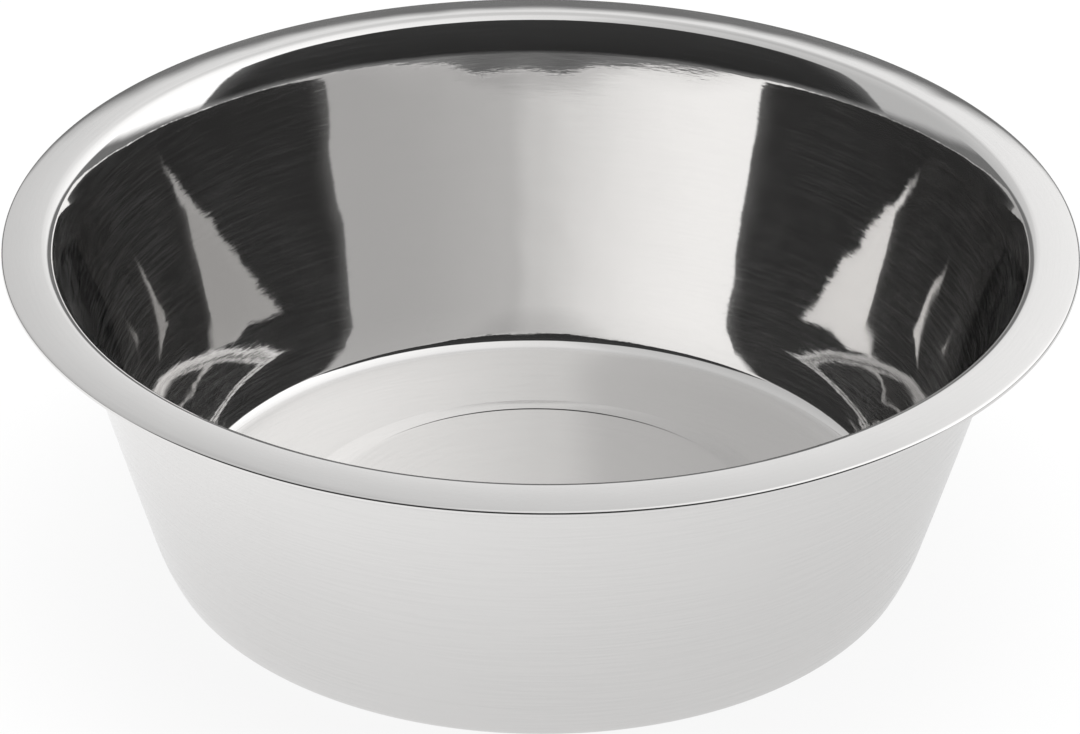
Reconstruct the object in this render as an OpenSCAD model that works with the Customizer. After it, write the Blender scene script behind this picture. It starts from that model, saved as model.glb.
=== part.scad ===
// Round stainless steel feeding bowl, pressed from one sheet, with a bonded non-slip ring.
// Millimetres, +Z up. The bowl's axis is Z and it rests on the plane z = 0.

/* [Bowl] */
// Outside diameter, over the folded edge
rim_d = 255; // [180:1:340]
// Overall height, from the rest plane to the top of the rim
bowl_h = 85; // [60:1:120]
// Radial width of the rim, from the wall's inner side, carried up to the top, to the folded edge
rim_w = 13; // [9:0.5:20]
// Lean of the wall away from upright, at its top, in degrees
wall_angle = 14.8; // [6:0.2:24]
// Further lean of the slightly bowed wall at its foot, in degrees
wall_bow = 1.4; // [0.4:0.1:6]
// Thickness of the steel sheet
sheet = 0.6; // [0.4:0.1:1]

/* [Rim] */
// Radius of the flare at the top of the wall, on its inner side
flare_r = 31; // [15:1:60]
// Turn of the flare, from the wall's lean towards level, in degrees
flare_angle = 15; // [2:0.5:20]
// Radius of the bend from flare to rim, on its upper side
rim_bend_r = 3.2; // [1.2:0.1:5]
// Downward slope of the rim where it leaves the bend, in degrees
rim_start_slope = 2; // [1:0.5:4]
// Downward slope of the rim at its outer edge, in degrees
rim_end_slope = 8.5; // [5:0.5:12]
// Outside radius of the folded edge
hem_r = 0.85; // [0.75:0.05:1.5]
// Length of the leg that is folded back under the rim
hem_leg = 3; // [1:0.5:5]

/* [Floor] */
// Radius of the soft bend that ends the wall, at mid thickness
foot_bend_r = 50; // [20:1:90]
// Turn of the soft bend, in degrees
foot_bend_angle = 10; // [4:0.5:16]
// Outside radius of the tight bend from there to the floor
base_bend_r = 5; // [3:0.1:12]
// Radial width of the flat outer floor, between the bend and the stamped step
outer_floor_w = 24.8; // [5:0.1:35]
// Radial run of the stamped step
step_w = 8.25; // [4:0.25:12]
// Height of the raised centre above the outer floor
step_h = 2.2; // [1:0.1:4]
// Radius of the soft crease at each end of the step, at mid thickness
crease_r = 1.3; // [1:0.1:4]

/* [Non-slip ring] */
// Clearance between the ring and the top of the step
ring_gap = 1; // [0.5:0.1:3]
// Radial width of the ring
ring_w = 10; // [5:0.5:20]
// Height by which the ring stands below the steel
ring_proud = 0.6; // [0.5:0.1:2]
// Radius of the ring's lower edges
ring_edge_r = 0.5; // [0.3:0.1:0.8]

/* [Hidden] */
$fn = 180;

// Arcs of the section are drawn in steps of about this many degrees, and in no fewer steps
step_angle = 5;
least_steps = 4;

half_sheet = sheet / 2;

// Inside radius of the wall, carried straight up to the top of the rim
mouth_r = rim_d / 2 - rim_w;
// Lean of the wall at its foot, and of the sheet below the soft bend there, in degrees
foot_angle = wall_angle + wall_bow;
bend_angle = foot_angle + foot_bend_angle;

// Heights of the mid surface of the outer floor and of the raised centre
floor_z = ring_proud + half_sheet;
centre_z = floor_z + step_h;

// Slope of the stamped step, in degrees
step_slope = atan2(step_h, step_w);

// A bend is [centre, mid radius, first angle, last angle, turn]. Walked from the axis outwards,
// the sheet turns up where turn is 1 and down where turn is -1.
function polar(r, a) = r * [cos(a), sin(a)];
function bend_point(b, r, a) = b[0] + polar(r, a);

// Bend that rounds a corner of the mid surface between two headings
function corner_bend(corner, heading_in, heading_out, r) =
    let (
        turn = sign(heading_out - heading_in),
        tangent = r * tan(abs(heading_out - heading_in) / 2),
        start = corner - polar(tangent, heading_in)
    )
    [start + polar(r, heading_in + turn * 90), r,
     heading_in - turn * 90, heading_out - turn * 90, turn];

// Radius, at height z, of the straight line that carries the top of the wall's mid surface on
function wall_mid_r(z) =
    mouth_r + half_sheet / cos(wall_angle) - (bowl_h - z) * tan(wall_angle);

// The top of the wall flares out to a tighter bend, and that turns into the rim
rim_mid_r = rim_bend_r - half_sheet;
rim_cz = bowl_h - rim_bend_r;
flare_mid_r = flare_r - half_sheet;
flare_start = 180 - wall_angle;
flare_end = flare_start - flare_angle;
flare_cz = rim_cz - (flare_mid_r - rim_mid_r) * sin(flare_end);
flare_bend = [
    [wall_mid_r(flare_cz) + flare_mid_r / cos(wall_angle), flare_cz],
    flare_mid_r, flare_start, flare_end, -1
];
rim_bend = [
    bend_point(flare_bend, flare_mid_r - rim_mid_r, flare_end),
    rim_mid_r, flare_end, 90 - rim_start_slope, -1
];

// The wall bows slightly outwards, from the soft bend at its foot to the flare
base_mid_r = base_bend_r - half_sheet;
base_cz = ring_proud + base_bend_r;
wall_top = bend_point(flare_bend, flare_mid_r, flare_start);
wall_foot_z = base_cz + (foot_bend_r - base_mid_r) * sin(bend_angle)
    - foot_bend_r * sin(foot_angle);
wall_arc_r = (wall_top[1] - wall_foot_z) / (sin(foot_angle) - sin(wall_angle));
wall_arc = [
    wall_top - polar(wall_arc_r, -wall_angle),
    wall_arc_r, -foot_angle, -wall_angle, 1
];

// Bends between wall and floor, first a soft one and then a tight one
foot_bend = [
    bend_point(wall_arc, wall_arc_r - foot_bend_r, -foot_angle),
    foot_bend_r, -bend_angle, -foot_angle, 1
];
base_bend = [
    bend_point(foot_bend, foot_bend_r - base_mid_r, -bend_angle),
    base_mid_r, -90, -bend_angle, 1
];

// The rim is a shallow arc, tangent to the bend and to the folded edge
hem_mid_r = hem_r - half_sheet;
rim_start = bend_point(rim_bend, rim_mid_r, 90 - rim_start_slope);
rim_end_x = rim_d / 2 - hem_r + hem_mid_r * sin(rim_end_slope);
rim_arc_r = (rim_end_x - rim_start[0]) / (sin(rim_end_slope) - sin(rim_start_slope));
rim_arc = [
    rim_start - polar(rim_arc_r, 90 - rim_start_slope),
    rim_arc_r, 90 - rim_start_slope, 90 - rim_end_slope, -1
];
rim_end = bend_point(rim_arc, rim_arc_r, 90 - rim_end_slope);
hem_bend = [
    rim_end - polar(hem_mid_r, 90 - rim_end_slope),
    hem_mid_r, 90 - rim_end_slope, -90 - rim_end_slope, -1
];

// Radii at the foot and at the top of the stamped step, and the soft creases there
step_foot_r = base_bend[0][0] - outer_floor_w;
step_top_r = step_foot_r - step_w;
inner_crease = corner_bend([step_top_r, centre_z], 0, -step_slope, crease_r);
outer_crease = corner_bend([step_foot_r, floor_z], -step_slope, 0, crease_r);

// Every bend of the pressed sheet, from the centre of the floor to the folded edge
BENDS = [
    inner_crease, outer_crease, base_bend, foot_bend, wall_arc,
    flare_bend, rim_bend, rim_arc, hem_bend
];

// Non-slip ring: it fills the recess under the raised centre and stands below the steel
ring_outer_r = step_top_r - ring_gap;
ring_t = ring_proud + step_h;

// Points along one bend, at a distance above the mid surface (below it where negative)
function bend_points(b, above) =
    let (
        span = b[3] - b[2],
        steps = max(least_steps, ceil(abs(span) / step_angle))
    )
    [for (i = [0:steps]) bend_point(b, b[1] - b[4] * above, b[2] + span * i / steps)];

// One side of the whole sheet, from the first crease to the folded edge
function sheet_side(above) = [for (b = BENDS) each bend_points(b, above)];

// The same list of points, last one first
function reversed(points) = [for (i = [len(points) - 1:-1:0]) points[i]];

// Section of the sheet through the axis: its upper side outwards, then its lower side back
function sheet_section() =
    let (
        upper = sheet_side(half_sheet),
        lower = sheet_side(-half_sheet),
        leg = polar(hem_leg, 180 - rim_end_slope)
    )
    concat(
        [[0, centre_z + half_sheet]],
        upper,
        [upper[len(upper) - 1] + leg, lower[len(lower) - 1] + leg],
        reversed(lower),
        [[0, centre_z - half_sheet]]
    );

// Pressed sheet: raised centre, outer floor, wall, flare, rim and folded edge in one piece
module bowl_shell() {
    color("silver") rotate_extrude() polygon(sheet_section());
}

// Flat rubber ring with rounded lower edges, bonded under the raised centre
module nonslip_ring() {
    color("dimgray") rotate_extrude()
        translate([ring_outer_r - ring_w, 0]) union() {
            translate([0, ring_edge_r]) square([ring_w, ring_t - ring_edge_r]);
            translate([ring_edge_r, 0]) square([ring_w - 2 * ring_edge_r, ring_t]);
            translate([ring_edge_r, ring_edge_r]) circle(r = ring_edge_r);
            translate([ring_w - ring_edge_r, ring_edge_r]) circle(r = ring_edge_r);
        }
}

bowl_shell();
nonslip_ring();
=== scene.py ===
"""Polished stainless steel feeding bowl with a non-slip ring, in a pale studio.

Lengths are millimetres, as on a drawing, where nothing else is said. Blender gets metres, +Z up,
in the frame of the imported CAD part: the bowl stands on z = 0 and its axis is Z.
"""

import logging
import math
from dataclasses import dataclass, field
from enum import Enum

import bmesh
import bpy
from mathutils import Matrix, Vector


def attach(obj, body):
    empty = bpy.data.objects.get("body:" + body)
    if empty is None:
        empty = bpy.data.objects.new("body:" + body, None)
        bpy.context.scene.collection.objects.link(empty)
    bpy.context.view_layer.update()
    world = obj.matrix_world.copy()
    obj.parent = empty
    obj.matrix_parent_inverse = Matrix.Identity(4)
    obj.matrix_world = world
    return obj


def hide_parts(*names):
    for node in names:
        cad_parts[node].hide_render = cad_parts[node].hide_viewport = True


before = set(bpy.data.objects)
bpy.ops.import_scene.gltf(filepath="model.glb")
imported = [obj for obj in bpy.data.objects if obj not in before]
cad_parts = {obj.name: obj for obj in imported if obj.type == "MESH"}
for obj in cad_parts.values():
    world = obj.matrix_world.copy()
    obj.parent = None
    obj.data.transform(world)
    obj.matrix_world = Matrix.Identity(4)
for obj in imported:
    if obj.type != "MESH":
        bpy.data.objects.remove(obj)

log = logging.getLogger("bowl")

MM = 0.001
# In metres: shorter lines aren't drawn, and nearer points become one
SHORTEST_LINE = 1e-7
MERGE_DISTANCE = 1e-6
# Shading stays smooth over edges that turn less than this, in degrees
SMOOTH_UNDER = 40.0

WHITE = "FFFFFF"
BMesh = bmesh.types.BMesh
Tree = bpy.types.NodeTree
Socket = bpy.types.NodeSocket
RGBA = tuple[float, float, float, float]

# Settings that several nodes share
MULTIPLY = {"operation": "MULTIPLY"}
MULTIPLY_ADD = {"operation": "MULTIPLY_ADD"}
MAXIMUM = {"operation": "MAXIMUM"}
ADD = {"operation": "ADD"}
DOT = {"operation": "DOT_PRODUCT"}
SMOOTH_STEP = {"interpolation_type": "SMOOTHSTEP"}


class Slot(Enum):
    """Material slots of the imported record."""

    STEEL = "stainless_steel"
    RUBBER = "rubber"


class Turn(Enum):
    """Which way the sheet turns at a bend, walked from the axis outwards."""

    UP = 1
    DOWN = -1


def linear(hex_colour: str) -> RGBA:
    """Turns an sRGB hex colour into the linear one that shaders take.

    Args:
        hex_colour: six hex digits.

    Returns:
        Linear red, green, blue and an alpha of 1.
    """
    parts = [int(hex_colour[i : i + 2], 16) / 255 for i in (0, 2, 4)]
    red, green, blue = (
        c / 12.92 if c <= 0.04045 else ((c + 0.055) / 1.055) ** 2.4 for c in parts
    )
    return (red, green, blue, 1.0)


def add_node(
    tree: Tree,
    kind: str,
    settings: dict[str, object] | None = None,
    inputs: dict[int | str, object] | None = None,
) -> bpy.types.Node:
    """Adds one node, sets it up and links its inputs.

    Args:
        tree: node tree that takes the node.
        kind: the node's Blender type name.
        settings: properties of the node itself.
        inputs: a value or an output socket for each input, by its name or number.

    Returns:
        The new node.
    """
    node = tree.nodes.new(kind)
    for name, value in (settings or {}).items():
        setattr(node, name, value)
    for key, value in (inputs or {}).items():
        if isinstance(value, Socket):
            tree.links.new(value, node.inputs[key])
        else:
            node.inputs[key].default_value = value
    return node


def new_material(name: str) -> bpy.types.Material:
    """Makes a material with an empty node tree.

    Args:
        name: name of the finish.

    Returns:
        The material.
    """
    material = bpy.data.materials.new(name)
    material.use_nodes = True
    material.node_tree.nodes.clear()
    return material


def polar(radius: float, degrees: float) -> Vector:
    """Returns the point at a radius and angle, in the plane of the section."""
    return Vector((math.cos(math.radians(degrees)), math.sin(math.radians(degrees)))) * radius


def towards_back(degrees: float) -> tuple[float, float, float]:
    """Returns the direction to the back, raised by an angle."""
    return (0.0, math.cos(math.radians(degrees)), math.sin(math.radians(degrees)))


def mesh_object(name: str, bm: BMesh, material: bpy.types.Material) -> bpy.types.Object:
    """Turns a bmesh into a smooth-shaded object at the origin and frees the bmesh.

    Args:
        name: name of the piece.
        bm: its shape, in place, in metres.
        material: its finish.

    Returns:
        The new object.
    """
    data = bpy.data.meshes.new(name)
    bm.to_mesh(data)
    bm.free()
    data.materials.append(material)
    data.polygons.foreach_set("use_smooth", [True] * len(data.polygons))
    data.set_sharp_from_angle(angle=math.radians(SMOOTH_UNDER))
    piece = bpy.data.objects.new(name, data)
    bpy.context.scene.collection.objects.link(piece)
    return piece


@dataclass(frozen=True)
class Bend:
    """A circular bend of the sheet's mid surface.

    Attributes:
        centre: centre of the bend, as radius and height.
        radius: radius of the mid surface.
        first: angle at which the bend starts, in degrees.
        last: angle at which it ends.
        turn: which way the sheet turns.
        steps: how many straight steps draw it.
    """

    centre: Vector
    radius: float
    first: float
    last: float
    turn: Turn
    steps: int

    def point(self, degrees: float, above: float = 0.0) -> Vector:
        """Returns the point at an angle, at a distance above the mid surface."""
        return self.centre + polar(self.radius - self.turn.value * above, degrees)


class SectionPen:
    """Draws a section through the axis, by extruding and spinning the last vertex of a bmesh."""

    def __init__(self, bm: BMesh, start: Vector) -> None:
        """Puts the pen down.

        Args:
            bm: the bmesh that is drawn in.
            start: first point, as radius and height.
        """
        self.bm = bm
        self.tip = bm.verts.new((start.x * MM, 0.0, start.y * MM))

    def line_to(self, end: Vector, cuts: int = 0) -> None:
        """Draws a straight line.

        Args:
            end: its end, as radius and height.
            cuts: how many points divide it.
        """
        way = Vector((end.x * MM, 0.0, end.y * MM)) - self.tip.co
        if way.length < SHORTEST_LINE:
            return
        for _ in range(cuts + 1):
            made = bmesh.ops.extrude_vert_indiv(self.bm, verts=[self.tip])
            self.tip = made["verts"][0]
            bmesh.ops.translate(self.bm, verts=[self.tip], vec=way / (cuts + 1))

    def arc(self, centre: Vector, degrees: float, steps: int) -> None:
        """Draws an arc from the tip round a centre.

        Args:
            centre: its centre, as radius and height.
            degrees: how far it turns, from the radius towards the height.
            steps: how many straight steps draw it.
        """
        made = bmesh.ops.spin(
            self.bm,
            geom=[self.tip],
            cent=(centre.x * MM, 0.0, centre.y * MM),
            axis=(0.0, -1.0, 0.0),
            angle=math.radians(degrees),
            steps=steps,
            use_duplicate=False,
        )
        self.tip = next(g for g in made["geom_last"] if isinstance(g, bmesh.types.BMVert))


def turn_section(bm: BMesh, steps: int) -> None:
    """Spins a drawn section once round the axis and closes it.

    Args:
        bm: bmesh that holds the section as a wire.
        steps: how many steps make the full turn.
    """
    bmesh.ops.spin(
        bm,
        geom=bm.verts[:] + bm.edges[:],
        cent=(0.0, 0.0, 0.0),
        axis=(0.0, 0.0, 1.0),
        angle=math.tau,
        steps=steps,
        use_merge=True,
        use_duplicate=False,
    )
    bmesh.ops.remove_doubles(bm, verts=bm.verts, dist=MERGE_DISTANCE)
    bmesh.ops.recalc_face_normals(bm, faces=bm.faces)


@dataclass(frozen=True)
class MirrorSteel:
    """Stainless steel sheet, deep drawn and then polished on a turning buff.

    The eye sees a near mirror: fine marks run round the axis and fray the edges of each reflection,
    the sheet is a little wavy from the press, and light scratches and a streaky haze show where it
    mirrors something dark. Real marks and scratches are 0.02 to 0.1 mm wide, which is too fine to
    show in the render, so they are drawn as coarse as they need to be to show.

    Attributes:
        name: name of the material.
        colour: colour of the metal.
        roughness: roughness between the marks.
        mark: width of a polishing mark.
        mark_length: its length.
        mark_depth: height of the finish's unevenness at that width.
        dent: width of the low, drawn-out dents that the buff leaves.
        dent_length: their length.
        dent_depth: their height.
        ripple: distance between the press's ripples.
        ripple_depth: their height.
        ripple_detail: finer layers in the ripples.
        detail: finer layers in every other pattern.
        scratch: width of a light scratch.
        scratch_length: its length.
        scratch_turns: how each set of crossing scratches is turned, in radians.
        scratch_start: share of the scratches' noise that is still clean metal.
        scratch_end: share where it is as rough as it gets.
        scratch_roughness: roughness where scratches lie closest.
        blotch: size of the areas that are more and less scratched and hazy.
        blotch_start: share of the blotches' noise that is least worn.
        blotch_end: share where it is most worn.
        blotch_least: wear where it is least.
        haze: width of the streaks of haze that the polish leaves.
        haze_length: their length.
        haze_start: share of the haze's noise that is thinnest.
        haze_end: share where it is thickest.
        haze_least: haze where it is thinnest.
        haze_roughness: roughness of the haze.
        haze_ior: refractive index that gives the haze its strength.
    """

    name: str = "mirror_polished_stainless_steel"
    colour: str = "E6E5E4"
    roughness: float = 0.02
    mark: float = 0.45
    mark_length: float = 3.0
    mark_depth: float = 0.0018
    dent: float = 1.8
    dent_length: float = 6.0
    dent_depth: float = 0.004
    ripple: float = 22.0
    ripple_depth: float = 0.15
    ripple_detail: float = 1.0
    detail: float = 2.0
    scratch: float = 0.3
    scratch_length: float = 9.0
    scratch_turns: tuple[tuple[float, float, float], ...] = ((0.5, 0.85, 0.3), (1.7, 2.89, 1.02))
    scratch_start: float = 0.62
    scratch_end: float = 0.85
    scratch_roughness: float = 0.25
    blotch: float = 40.0
    blotch_start: float = 0.35
    blotch_end: float = 0.65
    blotch_least: float = 0.2
    haze: float = 0.7
    haze_length: float = 18.0
    haze_start: float = 0.42
    haze_end: float = 0.68
    haze_least: float = 0.1
    haze_roughness: float = 0.45
    haze_ior: float = 1.57

    def round_axis(self, tree: Tree, place: Socket, width: float, length: float) -> Socket:
        """Lays a noise in marks that run round the axis.

        Args:
            tree: node tree that takes the nodes.
            place: the point on the metal.
            width: width of a mark.
            length: length of a mark.

        Returns:
            The noise.
        """
        level = add_node(
            tree, "ShaderNodeVectorMath", MULTIPLY, {0: place, 1: (1.0, 1.0, 0.0)}
        ).outputs["Vector"]
        radius = add_node(
            tree, "ShaderNodeVectorMath", {"operation": "LENGTH"}, {0: level}
        ).outputs["Value"]
        height = add_node(tree, "ShaderNodeSeparateXYZ", inputs={0: place}).outputs["Z"]
        # Radius plus height grows all along the section, so lines across it run round the axis
        along = add_node(tree, "ShaderNodeMath", ADD, {0: radius, 1: height}).outputs[0]
        across = add_node(tree, "ShaderNodeCombineXYZ", inputs={"Z": along}).outputs[0]
        slow = add_node(
            tree,
            "ShaderNodeVectorMath",
            {"operation": "SCALE"},
            {0: level, "Scale": width / length},
        ).outputs["Vector"]
        lay = add_node(tree, "ShaderNodeVectorMath", ADD, {0: across, 1: slow}).outputs["Vector"]
        return add_node(
            tree,
            "ShaderNodeTexNoise",
            inputs={"Vector": lay, "Scale": 1 / (width * MM), "Detail": self.detail},
        ).outputs["Fac"]

    def scratches(self, tree: Tree, place: Socket) -> Socket:
        """Lays light scratches round the axis and across one another.

        Args:
            tree: node tree that takes the nodes.
            place: the point on the metal.

        Returns:
            How scratched the metal is.
        """
        most = self.round_axis(tree, place, self.scratch, self.scratch_length)
        for turns in self.scratch_turns:
            turned = add_node(
                tree,
                "ShaderNodeMapping",
                inputs={
                    "Vector": place,
                    "Rotation": turns,
                    "Scale": (1.0, 1.0, self.scratch / self.scratch_length),
                },
            ).outputs[0]
            noise = add_node(
                tree,
                "ShaderNodeTexNoise",
                inputs={"Vector": turned, "Scale": 1 / (self.scratch * MM), "Detail": self.detail},
            ).outputs["Fac"]
            most = add_node(tree, "ShaderNodeMath", MAXIMUM, {0: most, 1: noise}).outputs[0]
        return most

    def relief(self, tree: Tree, place: Socket) -> Socket:
        """Lays the press's ripples, the buff's dents and its fine marks over one another.

        Args:
            tree: node tree that takes the nodes.
            place: the point on the metal.

        Returns:
            The normal.
        """
        ripples = add_node(
            tree,
            "ShaderNodeTexNoise",
            inputs={"Vector": place, "Scale": 1 / (self.ripple * MM), "Detail": self.ripple_detail},
        ).outputs["Fac"]
        dents = self.round_axis(tree, place, self.dent, self.dent_length)
        marks = self.round_axis(tree, place, self.mark, self.mark_length)
        rippled = add_node(
            tree, "ShaderNodeBump", inputs={"Distance": self.ripple_depth * MM, "Height": ripples}
        ).outputs[0]
        dented = add_node(
            tree,
            "ShaderNodeBump",
            inputs={"Distance": self.dent_depth * MM, "Height": dents, "Normal": rippled},
        ).outputs[0]
        return add_node(
            tree,
            "ShaderNodeBump",
            inputs={"Distance": self.mark_depth * MM, "Height": marks, "Normal": dented},
        ).outputs[0]

    def build(self) -> bpy.types.Material:
        """Makes the material.

        Returns:
            The finished material.
        """
        material = new_material(self.name)
        tree = material.node_tree
        place = add_node(tree, "ShaderNodeTexCoord").outputs["Object"]
        blotches = add_node(
            tree,
            "ShaderNodeTexNoise",
            inputs={"Vector": place, "Scale": 1 / (self.blotch * MM), "Detail": self.detail},
        ).outputs["Fac"]
        worn = add_node(
            tree,
            "ShaderNodeMapRange",
            inputs={
                "Value": blotches,
                "From Min": self.blotch_start,
                "From Max": self.blotch_end,
                "To Min": self.blotch_least,
            },
        ).outputs[0]
        streaks = add_node(
            tree,
            "ShaderNodeMapRange",
            inputs={
                "Value": self.round_axis(tree, place, self.haze, self.haze_length),
                "From Min": self.haze_start,
                "From Max": self.haze_end,
                "To Min": self.haze_least,
            },
        ).outputs[0]
        hazy = add_node(tree, "ShaderNodeMath", MULTIPLY, {0: worn, 1: streaks}).outputs[0]
        most = add_node(
            tree,
            "ShaderNodeMath",
            MULTIPLY_ADD,
            {0: worn, 1: self.scratch_roughness - self.roughness, 2: self.roughness},
        ).outputs[0]
        rough = add_node(
            tree,
            "ShaderNodeMapRange",
            inputs={
                "Value": self.scratches(tree, place),
                "From Min": self.scratch_start,
                "From Max": self.scratch_end,
                "To Min": self.roughness,
                "To Max": most,
            },
        ).outputs[0]
        shader = add_node(
            tree,
            "ShaderNodeBsdfPrincipled",
            inputs={
                "Base Color": linear(self.colour),
                "Metallic": 1.0,
                "Roughness": rough,
                "Normal": self.relief(tree, place),
                "Coat Weight": hazy,
                "Coat Roughness": self.haze_roughness,
                "Coat IOR": self.haze_ior,
            },
        )
        add_node(tree, "ShaderNodeOutputMaterial", inputs={"Surface": shader.outputs[0]})
        return material


@dataclass(frozen=True)
class MouldedRubber:
    """Black rubber, moulded in a spark-eroded tool.

    The eye gets an even, matt black with a fine grain and broad, dull highlights. The real grain is
    about 0.1 mm wide and is drawn coarser, so that it shows.

    Attributes:
        name: name of the material.
        colour: colour of the rubber.
        ior: its refractive index.
        roughness: its middle roughness.
        roughness_spread: how far the grain takes that up and down.
        grain: width of the grain.
        grain_depth: its height.
        grain_strength: how strongly it shows.
        grain_detail: finer layers in it.
    """

    name: str = "moulded_black_rubber"
    colour: str = "2C2C2D"
    ior: float = 1.52
    roughness: float = 0.62
    roughness_spread: float = 0.1
    grain: float = 0.5
    grain_depth: float = 0.05
    grain_strength: float = 0.5
    grain_detail: float = 4.0

    def build(self) -> bpy.types.Material:
        """Makes the material.

        Returns:
            The finished material.
        """
        material = new_material(self.name)
        tree = material.node_tree
        place = add_node(tree, "ShaderNodeTexCoord").outputs["Object"]
        grain = add_node(
            tree,
            "ShaderNodeTexNoise",
            inputs={"Vector": place, "Scale": 1 / (self.grain * MM), "Detail": self.grain_detail},
        ).outputs["Fac"]
        bumpy = add_node(
            tree,
            "ShaderNodeBump",
            inputs={
                "Strength": self.grain_strength,
                "Distance": self.grain_depth * MM,
                "Height": grain,
            },
        ).outputs[0]
        rough = add_node(
            tree,
            "ShaderNodeMapRange",
            inputs={
                "Value": grain,
                "To Min": self.roughness - self.roughness_spread,
                "To Max": self.roughness + self.roughness_spread,
            },
        ).outputs[0]
        shader = add_node(
            tree,
            "ShaderNodeBsdfPrincipled",
            inputs={
                "Base Color": linear(self.colour),
                "Roughness": rough,
                "IOR": self.ior,
                "Normal": bumpy,
            },
        )
        add_node(tree, "ShaderNodeOutputMaterial", inputs={"Surface": shader.outputs[0]})
        return material


@dataclass
class PressedBowl:
    """The bowl itself: one sheet of steel, pressed and folded over at the rim.

    Its section is a chain of bends of the mid surface, from the axis outwards: the two creases of
    the stamped step, the tight and the soft bend at the wall's foot, the slightly bowed wall, the
    flare, the rim's bend, the shallow rim and the folded edge. The sizes are those of the part's
    source. Only the crease at the top of the step is softer than there, by less than 0.1 mm in
    height, so that it mirrors enough of the dark room to show as a dark line.

    Attributes:
        rim_d: outside diameter, over the folded edge.
        height: from the rest plane to the top of the rim.
        rim_w: radial width of the rim.
        wall_angle: lean of the wall at its top, in degrees, as all angles.
        wall_bow: its further lean at the foot.
        sheet: thickness of the steel.
        flare_r: radius of the flare under the rim.
        flare_angle: turn of the flare.
        rim_bend_r: radius of the bend from flare to rim.
        rim_start_slope: slope of the rim where it leaves that bend.
        rim_end_slope: its slope at the outer edge.
        hem_r: outside radius of the folded edge.
        hem_leg: length of the leg that is folded back.
        foot_bend_r: radius of the soft bend that ends the wall.
        foot_bend_angle: its turn.
        base_bend_r: radius of the tight bend to the floor.
        outer_floor_w: width of the floor between that bend and the step.
        step_w: radial run of the step.
        step_h: its height.
        crease_r: radius of the crease at the foot of the step.
        top_crease_r: radius of the crease at its top.
        stand_off: height of the steel over the rest plane.
        crease_steps: straight steps that draw a crease, and so on for each bend.
        cuts: points that divide the straight stretch before each bend.
        leg_cuts: points that divide each side of the folded leg.
        turn_steps: steps round the axis.
        bends: the bends, worked out from the sizes.
    """

    rim_d: float = 255.0
    height: float = 85.0
    rim_w: float = 13.0
    wall_angle: float = 14.8
    wall_bow: float = 1.4
    sheet: float = 0.6
    flare_r: float = 31.0
    flare_angle: float = 15.0
    rim_bend_r: float = 3.2
    rim_start_slope: float = 2.0
    rim_end_slope: float = 8.5
    hem_r: float = 0.85
    hem_leg: float = 3.0
    foot_bend_r: float = 50.0
    foot_bend_angle: float = 10.0
    base_bend_r: float = 5.0
    outer_floor_w: float = 24.8
    step_w: float = 8.25
    step_h: float = 2.2
    crease_r: float = 1.3
    top_crease_r: float = 6.5
    stand_off: float = 0.6
    crease_steps: int = 8
    base_steps: int = 32
    foot_steps: int = 16
    wall_steps: int = 24
    flare_steps: int = 16
    rim_bend_steps: int = 28
    rim_steps: int = 8
    hem_steps: int = 14
    cuts: tuple[int, ...] = (8, 2, 8, 0, 0, 0, 0, 0, 0)
    leg_cuts: int = 1
    turn_steps: int = 276
    bends: list[Bend] = field(default_factory=list)

    def __post_init__(self) -> None:
        """Works out the bends of the sheet from its sizes."""
        self.half = self.sheet / 2
        self.floor_z = self.stand_off + self.half
        self.centre_z = self.floor_z + self.step_h
        flare, rim_bend, rim, hem = self.rim_bends()
        base, foot, wall = self.wall_bends(flare.point(flare.first))
        foot_r = base.centre.x - self.outer_floor_w
        top = Vector((foot_r - self.step_w, self.centre_z))
        slope = math.degrees(math.atan2(self.step_h, self.step_w))
        inner = self.crease(top, 0.0, -slope, self.top_crease_r)
        outer = self.crease(Vector((foot_r, self.floor_z)), -slope, 0.0, self.crease_r)
        self.bends = [inner, outer, base, foot, wall, flare, rim_bend, rim, hem]

    def wall_radius(self, height: float) -> float:
        """Returns the radius, at a height, of the line that carries the wall's top on."""
        lean = math.radians(self.wall_angle)
        mouth = self.rim_d / 2 - self.rim_w
        return mouth + self.half / math.cos(lean) - (self.height - height) * math.tan(lean)

    def rim_bends(self) -> list[Bend]:
        """Works out the bends from the wall's top to the folded edge.

        Returns:
            The flare, the rim's bend, the rim and the folded edge.
        """
        bend_mid = self.rim_bend_r - self.half
        flare_mid = self.flare_r - self.half
        flare_start = 180.0 - self.wall_angle
        flare_end = flare_start - self.flare_angle
        between = polar(flare_mid - bend_mid, flare_end)
        flare_z = self.height - self.rim_bend_r - between.y
        flare_x = self.wall_radius(flare_z) + flare_mid / math.cos(math.radians(self.wall_angle))
        flare = Bend(
            Vector((flare_x, flare_z)),
            flare_mid, flare_start, flare_end, Turn.DOWN, self.flare_steps,
        )
        rim_bend = Bend(
            flare.centre + between,
            bend_mid, flare_end, 90.0 - self.rim_start_slope, Turn.DOWN, self.rim_bend_steps,
        )
        hem_mid = self.hem_r - self.half
        start = rim_bend.point(rim_bend.last)
        start_sine, end_sine = (
            math.sin(math.radians(slope)) for slope in (self.rim_start_slope, self.rim_end_slope)
        )
        end_x = self.rim_d / 2 - self.hem_r + hem_mid * end_sine
        rim_mid = (end_x - start.x) / (end_sine - start_sine)
        rim = Bend(
            start - polar(rim_mid, rim_bend.last),
            rim_mid, rim_bend.last, 90.0 - self.rim_end_slope, Turn.DOWN, self.rim_steps,
        )
        hem = Bend(
            rim.point(rim.last) - polar(hem_mid, rim.last),
            hem_mid, rim.last, rim.last - 180.0, Turn.DOWN, self.hem_steps,
        )
        return [flare, rim_bend, rim, hem]

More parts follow.
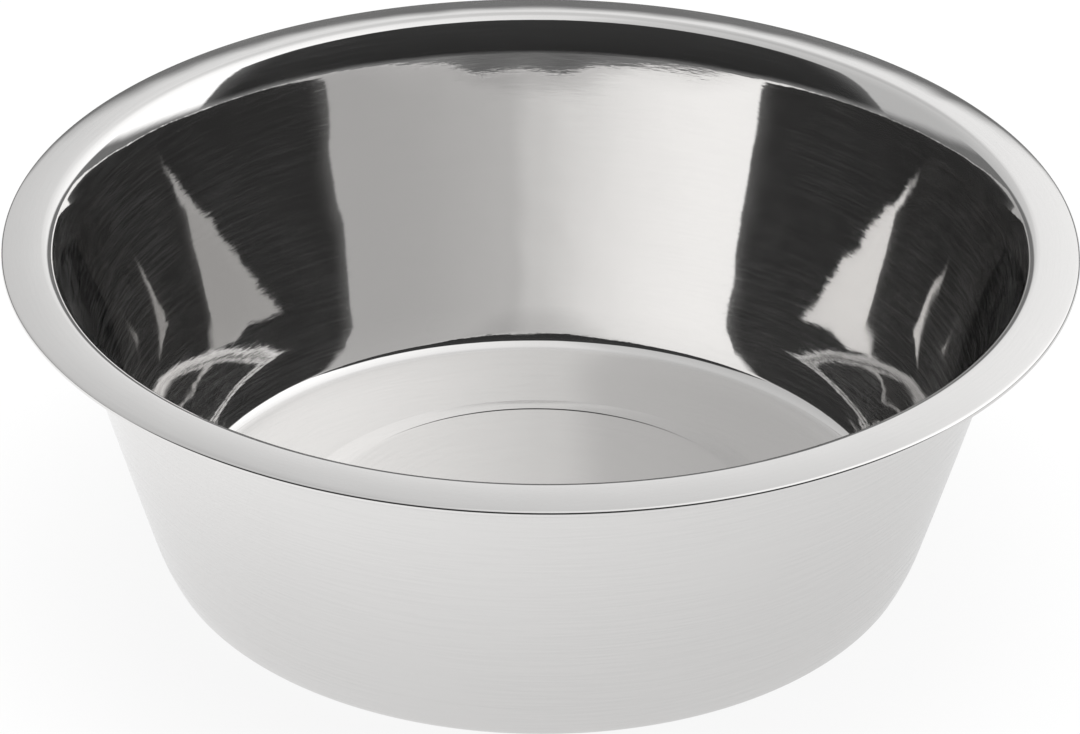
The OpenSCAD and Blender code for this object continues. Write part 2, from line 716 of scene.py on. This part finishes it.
    def wall_bends(self, wall_top: Vector) -> list[Bend]:
        """Works out the bends from the floor to the wall's top.

        Args:
            wall_top: where the wall ends and the flare begins.

        Returns:
            The tight bend, the soft bend and the wall.
        """
        base_mid = self.base_bend_r - self.half
        foot_angle = self.wall_angle + self.wall_bow
        bend_angle = foot_angle + self.foot_bend_angle
        base_z = self.stand_off + self.base_bend_r
        foot_z = base_z - polar(self.foot_bend_r - base_mid, -bend_angle).y
        wall_foot_z = foot_z + polar(self.foot_bend_r, -foot_angle).y
        rise = polar(1.0, -self.wall_angle).y - polar(1.0, -foot_angle).y
        wall_mid = (wall_top.y - wall_foot_z) / rise
        wall = Bend(
            wall_top - polar(wall_mid, -self.wall_angle),
            wall_mid, -foot_angle, -self.wall_angle, Turn.UP, self.wall_steps,
        )
        foot = Bend(
            wall.centre + polar(wall_mid - self.foot_bend_r, -foot_angle),
            self.foot_bend_r, -bend_angle, -foot_angle, Turn.UP, self.foot_steps,
        )
        base = Bend(
            foot.centre + polar(self.foot_bend_r - base_mid, -bend_angle),
            base_mid, -90.0, -bend_angle, Turn.UP, self.base_steps,
        )
        return [base, foot, wall]

    def crease(
        self, corner: Vector, heading_in: float, heading_out: float, radius: float
    ) -> Bend:
        """Rounds a corner of the mid surface.

        Args:
            corner: the corner, as radius and height.
            heading_in: heading of the sheet before it, in degrees.
            heading_out: heading after it.
            radius: radius of the crease.

        Returns:
            The bend.
        """
        side = 1 if heading_out > heading_in else -1
        tangent = radius * math.tan(math.radians(abs(heading_out - heading_in) / 2))
        start = corner - polar(tangent, heading_in)
        return Bend(
            start + polar(radius, heading_in + side * 90),
            radius, heading_in - side * 90, heading_out - side * 90, Turn(side), self.crease_steps,
        )

    def draw(self, bm: BMesh) -> None:
        """Draws the sheet's section: its upper side outwards, then its lower side back.

        Args:
            bm: bmesh that takes the wire.
        """
        pen = SectionPen(bm, Vector((0.0, self.centre_z + self.half)))
        for bend, cuts in zip(self.bends, self.cuts):
            pen.line_to(bend.point(bend.first, self.half), cuts)
            pen.arc(bend.centre, bend.last - bend.first, bend.steps)
        hem = self.bends[-1]
        leg = polar(self.hem_leg, 180.0 - self.rim_end_slope)
        pen.line_to(hem.point(hem.last, self.half) + leg, self.leg_cuts)
        pen.line_to(hem.point(hem.last, -self.half) + leg)
        for bend, cuts in zip(reversed(self.bends), (self.leg_cuts, *self.cuts[:0:-1])):
            pen.line_to(bend.point(bend.last, -self.half), cuts)
            pen.arc(bend.centre, bend.first - bend.last, bend.steps)
        pen.line_to(Vector((0.0, self.centre_z - self.half)), self.cuts[0])

    def build(self, finish: bpy.types.Material) -> bpy.types.Object:
        """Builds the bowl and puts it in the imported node's place.

        Args:
            finish: the steel.

        Returns:
            The bowl.
        """
        bm = bmesh.new()
        self.draw(bm)
        turn_section(bm, self.turn_steps)
        bowl = mesh_object("pressed_bowl", bm, finish)
        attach(bowl, "root")
        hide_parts("bowl_shell")
        return bowl


@dataclass
class NonSlipRing:
    """Rubber ring bonded in the recess under the raised floor, with rounded lower edges.

    Attributes:
        outer_r: outside radius.
        width: radial width.
        thick: thickness.
        edge_r: radius of the lower edges.
        edge_steps: straight steps that draw an edge.
        side_cuts: points that divide each upright side.
        face_cuts: points that divide the lower face.
        top_cuts: points that divide the upper one.
        turn_steps: steps round the axis.
    """

    outer_r: float = 53.17
    width: float = 10.0
    thick: float = 2.8
    edge_r: float = 0.5
    edge_steps: int = 8
    side_cuts: int = 2
    face_cuts: int = 12
    top_cuts: int = 4
    turn_steps: int = 240

    def draw(self, bm: BMesh) -> None:
        """Draws the ring's section.

        Args:
            bm: bmesh that takes the wire.
        """
        inner_r = self.outer_r - self.width
        inner_edge = Vector((inner_r + self.edge_r, self.edge_r))
        outer_edge = Vector((self.outer_r - self.edge_r, self.edge_r))
        pen = SectionPen(bm, Vector((inner_r, self.thick)))
        pen.line_to(Vector((inner_r, self.edge_r)), self.side_cuts)
        pen.arc(inner_edge, 90.0, self.edge_steps)
        pen.line_to(Vector((outer_edge.x, 0.0)), self.face_cuts)
        pen.arc(outer_edge, 90.0, self.edge_steps)
        pen.line_to(Vector((self.outer_r, self.thick)), self.side_cuts)
        pen.line_to(Vector((inner_r, self.thick)), self.top_cuts)

    def build(self, finish: bpy.types.Material) -> bpy.types.Object:
        """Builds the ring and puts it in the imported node's place.

        Args:
            finish: the rubber.

        Returns:
            The ring.
        """
        bm = bmesh.new()
        self.draw(bm)
        turn_section(bm, self.turn_steps)
        ring = mesh_object("rubber_ring", bm, finish)
        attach(ring, "root")
        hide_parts("nonslip_ring")
        return ring


@dataclass(frozen=True)
class WhiteTent:
    """Light tent behind and over the bowl, open towards a dark room on the camera's side.

    It is all directions: heights are sines, as is how far a thing lies to the left or right. Light
    is 1 where it is white.

    Attributes:
        tilt: how far the tent's open side leans over the bowl, in degrees.
        edge: where the tent ends, as the cosine from its middle.
        softness: half width of that edge.
        roof: height above which the tent closes over the camera's side too.
        roof_fall: how much lower the roof is at the sides.
        roof_softness: half width of its edge.
        level: light of the tent behind the bowl.
        rightward: how much brighter it is on the right.
        leftward: how much darker it is on the left.
        shade: how much darker its left half is than its middle.
        shade_start: how far to the left that half is fully dark.
        shade_end: how far to the left it begins to darken.
        dim: share of light lost in a soft dim patch above the middle.
        dim_height: height of that patch in degrees.
        dim_radius: its radius in degrees.
        gap: light of the gap between the table's far edge and the tent.
        gap_top: height of the gap's soft upper edge at the sides.
        gap_rise: how much higher that edge is behind the bowl.
        gap_softness: half width of that edge.
        room: light of the dark room.
        room_up: how much lighter the room is towards its ceiling.
        spill: light that the tent spills on the room beside its edge.
        spill_width: how far the spill reaches, as a cosine.
        spill_fade: power with which it fades.
        glow: light along the room's skyline.
        glow_top: height where the glow has ended.
    """

    tilt: float = 29.0
    edge: float = 0.02
    softness: float = 0.012
    roof: float = 0.775
    roof_fall: float = 0.32
    roof_softness: float = 0.02
    level: float = 0.91
    rightward: float = 0.53
    leftward: float = 0.2
    shade: float = 0.15
    shade_start: float = -0.24
    shade_end: float = -0.04
    dim: float = 0.22
    dim_height: float = 60.0
    dim_radius: float = 30.0
    gap: float = 0.19
    gap_top: float = 0.09
    gap_rise: float = 0.26
    gap_softness: float = 0.06
    room: float = 0.025
    room_up: float = 0.03
    spill: float = 0.14
    spill_width: float = 0.2
    spill_fade: float = 3.0
    glow: float = 0.3
    glow_top: float = 0.12

    def cloth_light(self, tree: Tree, way: Socket, right: Socket) -> Socket:
        """Works out the light of the tent's cloth.

        Args:
            tree: node tree that takes the nodes.
            way: the direction.
            right: how far it points to the right.

        Returns:
            The light.
        """
        rightly = add_node(tree, "ShaderNodeMath", MAXIMUM, {0: right, 1: 0.0}).outputs[0]
        bright = add_node(
            tree,
            "ShaderNodeMapRange",
            SMOOTH_STEP,
            {"Value": right, "From Min": self.shade_start, "From Max": self.shade_end},
        ).outputs[0]
        cloth = add_node(
            tree,
            "ShaderNodeMath",
            MULTIPLY_ADD,
            {0: bright, 1: self.shade, 2: self.level - self.shade},
        ).outputs[0]
        cloth = add_node(
            tree, "ShaderNodeMath", MULTIPLY_ADD, {0: right, 1: self.leftward, 2: cloth}
        ).outputs[0]
        cloth = add_node(
            tree,
            "ShaderNodeMath",
            MULTIPLY_ADD,
            {0: rightly, 1: self.rightward - self.leftward, 2: cloth},
        ).outputs[0]
        near = add_node(
            tree, "ShaderNodeVectorMath", DOT, {0: way, 1: towards_back(self.dim_height)}
        ).outputs["Value"]
        dimmed = add_node(
            tree,
            "ShaderNodeMapRange",
            SMOOTH_STEP,
            {"Value": near, "From Min": math.cos(math.radians(self.dim_radius)), "From Max": 1.0},
        ).outputs[0]
        kept = add_node(
            tree, "ShaderNodeMath", MULTIPLY_ADD, {0: dimmed, 1: -self.dim, 2: 1.0}
        ).outputs[0]
        return add_node(tree, "ShaderNodeMath", MULTIPLY, {0: cloth, 1: kept}).outputs[0]

    def over_gap(self, tree: Tree, cloth: Socket, back: Socket, up: Socket) -> Socket:
        """Puts the dim gap between the table's far edge and the tent below the cloth.

        Args:
            tree: node tree that takes the nodes.
            cloth: light of the cloth.
            back: how far a direction points to the back.
            up: how far it points up.

        Returns:
            The light of both.
        """
        behind = add_node(tree, "ShaderNodeMath", MAXIMUM, {0: back, 1: 0.0}).outputs[0]
        behind = add_node(tree, "ShaderNodeMath", MULTIPLY, {0: behind, 1: behind}).outputs[0]
        above = add_node(
            tree, "ShaderNodeMath", MULTIPLY_ADD, {0: behind, 1: -self.gap_rise, 2: up}
        ).outputs[0]
        lit = add_node(
            tree,
            "ShaderNodeMapRange",
            SMOOTH_STEP,
            {
                "Value": above,
                "From Min": self.gap_top - self.gap_softness,
                "From Max": self.gap_top + self.gap_softness,
            },
        ).outputs[0]
        return add_node(
            tree, "ShaderNodeMix", inputs={"Factor": lit, "A": self.gap, "B": cloth}
        ).outputs[0]

    def room_light(self, tree: Tree, inside: Socket, up: Socket) -> Socket:
        """Works out the light of the room beyond the tent.

        Args:
            tree: node tree that takes the nodes.
            inside: cosine from the tent's middle.
            up: how far a direction points up.

        Returns:
            The light.
        """
        near = add_node(
            tree,
            "ShaderNodeMapRange",
            inputs={
                "Value": inside,
                "From Min": self.edge - self.spill_width,
                "From Max": self.edge,
            },
        ).outputs[0]
        spill = add_node(
            tree, "ShaderNodeMath", {"operation": "POWER"}, {0: near, 1: self.spill_fade}
        ).outputs[0]
        dark = add_node(
            tree, "ShaderNodeMath", MULTIPLY_ADD, {0: up, 1: self.room_up, 2: self.room}
        ).outputs[0]
        dark = add_node(
            tree, "ShaderNodeMath", MULTIPLY_ADD, {0: spill, 1: self.spill, 2: dark}
        ).outputs[0]
        low = add_node(
            tree,
            "ShaderNodeMapRange",
            SMOOTH_STEP,
            {"Value": up, "From Min": self.glow_top, "From Max": 0.0},
        ).outputs[0]
        return add_node(
            tree, "ShaderNodeMath", MULTIPLY_ADD, {0: low, 1: self.glow, 2: dark}
        ).outputs[0]

    def tent_share(
        self, tree: Tree, way: Socket, right: Socket, up: Socket
    ) -> tuple[Socket, Socket]:
        """Works out where the tent is, and where the room.

        Args:
            tree: node tree that takes the nodes.
            way: the direction.
            right: how far it points to the right.
            up: how far it points up.

        Returns:
            1 in the tent and 0 in the room, and the cosine from the tent's middle.
        """
        inside = add_node(
            tree, "ShaderNodeVectorMath", DOT, {0: way, 1: towards_back(self.tilt)}
        ).outputs["Value"]
        wall = add_node(
            tree,
            "ShaderNodeMapRange",
            SMOOTH_STEP,
            {
                "Value": inside,
                "From Min": self.edge - self.softness,
                "From Max": self.edge + self.softness,
            },
        ).outputs[0]
        aside = add_node(tree, "ShaderNodeMath", MULTIPLY, {0: right, 1: right}).outputs[0]
        raised = add_node(
            tree, "ShaderNodeMath", MULTIPLY_ADD, {0: aside, 1: self.roof_fall, 2: up}
        ).outputs[0]
        roof = add_node(
            tree,
            "ShaderNodeMapRange",
            SMOOTH_STEP,
            {
                "Value": raised,
                "From Min": self.roof - self.roof_softness,
                "From Max": self.roof + self.roof_softness,
            },
        ).outputs[0]
        tent = add_node(tree, "ShaderNodeMath", MAXIMUM, {0: wall, 1: roof}).outputs[0]
        return tent, inside

    def build(self) -> bpy.types.World:
        """Makes the world: the tent for reflections and light, and plain white for the camera.

        Returns:
            The world.
        """
        world = bpy.data.worlds.new("white_tent")
        world.use_nodes = True
        tree = world.node_tree
        tree.nodes.clear()
        way = add_node(tree, "ShaderNodeTexCoord").outputs["Generated"]
        right, back, up = add_node(tree, "ShaderNodeSeparateXYZ", inputs={0: way}).outputs
        tent, inside = self.tent_share(tree, way, right, up)
        cloth = self.cloth_light(tree, way, right)
        light = add_node(
            tree,
            "ShaderNodeMix",
            inputs={
                "Factor": tent,
                "A": self.room_light(tree, inside, up),
                "B": self.over_gap(tree, cloth, back, up),
            },
        ).outputs[0]
        seen = add_node(
            tree, "ShaderNodeBackground", inputs={"Color": linear(WHITE), "Strength": light}
        )
        white = add_node(
            tree, "ShaderNodeBackground", inputs={"Color": linear(WHITE), "Strength": 1.0}
        )
        camera = add_node(tree, "ShaderNodeLightPath").outputs["Is Camera Ray"]
        mixed = add_node(
            tree,
            "ShaderNodeMixShader",
            inputs={0: camera, 1: seen.outputs[0], 2: white.outputs[0]},
        )
        add_node(tree, "ShaderNodeOutputWorld", inputs={"Surface": mixed.outputs[0]})
        bpy.context.scene.world = world
        return world


@dataclass(frozen=True)
class PaleFloor:
    """White table that the bowl stands on. It keeps the bowl's shadow.

    Attributes:
        size: side of the table, in metres.
        colour: colour of its laminate.
        camera_lift: how far it is lifted to white where the camera sees it.
        mirror_lift: the same where the steel mirrors it.
        mirror_left: its painted light there on the bowl's left.
        mirror_right: its painted light there on the bowl's right.
        mirror_reach: distance from the axis where it has those, in metres.
    """

    size: float = 6.0
    colour: str = "F4F4F4"
    camera_lift: float = 0.9
    mirror_lift: float = 0.8
    mirror_left: float = 0.98
    mirror_right: float = 0.75
    mirror_reach: float = 0.13

    def finish(self) -> bpy.types.Material:
        """Makes the table's white laminate, which gives the eye a plain, pale ground.

        It is lifted towards white where the camera or the steel sees it. Where the steel mirrors
        it, painted light makes it brighter on the bowl's left than on its right.

        Returns:
            The material.
        """
        material = new_material("white_laminate")
        tree = material.node_tree
        paths = add_node(tree, "ShaderNodeLightPath").outputs
        mirrored = add_node(
            tree,
            "ShaderNodeMath",
            MAXIMUM,
            {0: paths["Is Glossy Ray"], 1: paths["Is Transmission Ray"]},
        ).outputs[0]
        lifted = add_node(
            tree, "ShaderNodeMath", MULTIPLY, {0: paths["Is Camera Ray"], 1: self.camera_lift}
        ).outputs[0]
        lifted = add_node(
            tree, "ShaderNodeMath", MULTIPLY_ADD, {0: mirrored, 1: self.mirror_lift, 2: lifted}
        ).outputs[0]
        place = add_node(tree, "ShaderNodeTexCoord").outputs["Object"]
        side = add_node(tree, "ShaderNodeSeparateXYZ", inputs={0: place}).outputs["X"]
        # Painted light: where the steel mirrors the table, its glow is painted brighter on the
        # bowl's left and darker on its right
        painted_side_light = add_node(
            tree,
            "ShaderNodeMapRange",
            inputs={
                "Value": side,
                "From Min": -self.mirror_reach,
                "From Max": self.mirror_reach,
                "To Min": self.mirror_left,
                "To Max": self.mirror_right,
            },
        ).outputs[0]
        light = add_node(
            tree, "ShaderNodeMix", inputs={"Factor": mirrored, "A": 1.0, "B": painted_side_light}
        ).outputs[0]
        matt = add_node(tree, "ShaderNodeBsdfDiffuse", inputs={"Color": linear(self.colour)})
        white = add_node(
            tree, "ShaderNodeEmission", inputs={"Color": linear(WHITE), "Strength": light}
        )
        mixed = add_node(
            tree,
            "ShaderNodeMixShader",
            inputs={0: lifted, 1: matt.outputs[0], 2: white.outputs[0]},
        )
        add_node(tree, "ShaderNodeOutputMaterial", inputs={"Surface": mixed.outputs[0]})
        return material

    def build(self) -> bpy.types.Object:
        """Builds the floor.

        Returns:
            The floor.
        """
        bm = bmesh.new()
        bmesh.ops.create_grid(bm, x_segments=1, y_segments=1, size=self.size / 2)
        floor = mesh_object("floor", bm, self.finish())
        return floor


@dataclass(frozen=True)
class SoftLamp:
    """A large soft lamp over the bowl, seen by matt surfaces alone.

    Attributes:
        size: side of the lamp, in metres.
        back: how far behind the axis it hangs, in metres.
        height: its height over the floor, in metres.
        power: its power, in watts.
    """

    size: float = 1.6
    back: float = 0.2
    height: float = 1.8
    power: float = 30.0

    def build(self) -> bpy.types.Object:
        """Builds the lamp.

        Returns:
            The lamp.
        """
        light = bpy.data.lights.new("soft_lamp", "AREA")
        light.shape = "SQUARE"
        light.size = self.size
        light.energy = self.power
        lamp = bpy.data.objects.new("soft_lamp", light)
        lamp.location = (0.0, self.back, self.height)
        lamp.visible_camera = False
        lamp.visible_glossy = False
        bpy.context.scene.collection.objects.link(lamp)
        return lamp


@dataclass(frozen=True)
class PhotoCamera:
    """Camera at the photograph's viewing angle.

    Attributes:
        lens: focal length.
        sensor: width of the sensor.
        x: place to the right of the axis.
        y: place behind the axis.
        z: height over the floor.
        down: how far it looks down, in degrees.
        roll: how far it is rolled, in degrees.
        nearest: nearest distance that it sees, in metres.
        farthest: farthest one.
    """

    lens: float = 161.685
    sensor: float = 36.0
    x: float = 0.08
    y: float = -1013.18
    z: float = 629.11
    down: float = 29.8844
    roll: float = -0.5064
    nearest: float = 0.05
    farthest: float = 50.0

    def build(self) -> bpy.types.Object:
        """Builds the camera and makes it the scene's.

        Returns:
            The camera.
        """
        data = bpy.data.cameras.new("camera")
        data.sensor_width = self.sensor
        data.lens = self.lens
        data.clip_start = self.nearest
        data.clip_end = self.farthest
        camera = bpy.data.objects.new("camera", data)
        aim = Matrix.Rotation(math.radians(90.0 - self.down), 4, "X")
        spin = Matrix.Rotation(math.radians(-self.roll), 4, "Z")
        place = Matrix.Translation(Vector((self.x, self.y, self.z)) * MM)
        camera.matrix_world = place @ aim @ spin
        bpy.context.scene.collection.objects.link(camera)
        bpy.context.scene.camera = camera
        return camera


def main() -> None:
    """Builds the studio and the bowl, in order."""
    logging.basicConfig(level=logging.INFO, format="%(name)s: %(message)s")
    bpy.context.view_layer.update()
    bpy.context.scene.view_settings.view_transform = "Standard"
    PhotoCamera().build()
    WhiteTent().build()
    PaleFloor().build()
    SoftLamp().build()
    log.info("studio: camera, white tent, floor and lamp")
    bowl = PressedBowl().build(MirrorSteel().build())
    log.info("%s: %d faces", bowl.name, len(bowl.data.polygons))
    ring = NonSlipRing().build(MouldedRubber().build())
    log.info("%s: %d faces", ring.name, len(ring.data.polygons))


if __name__ == "__main__":
    main()
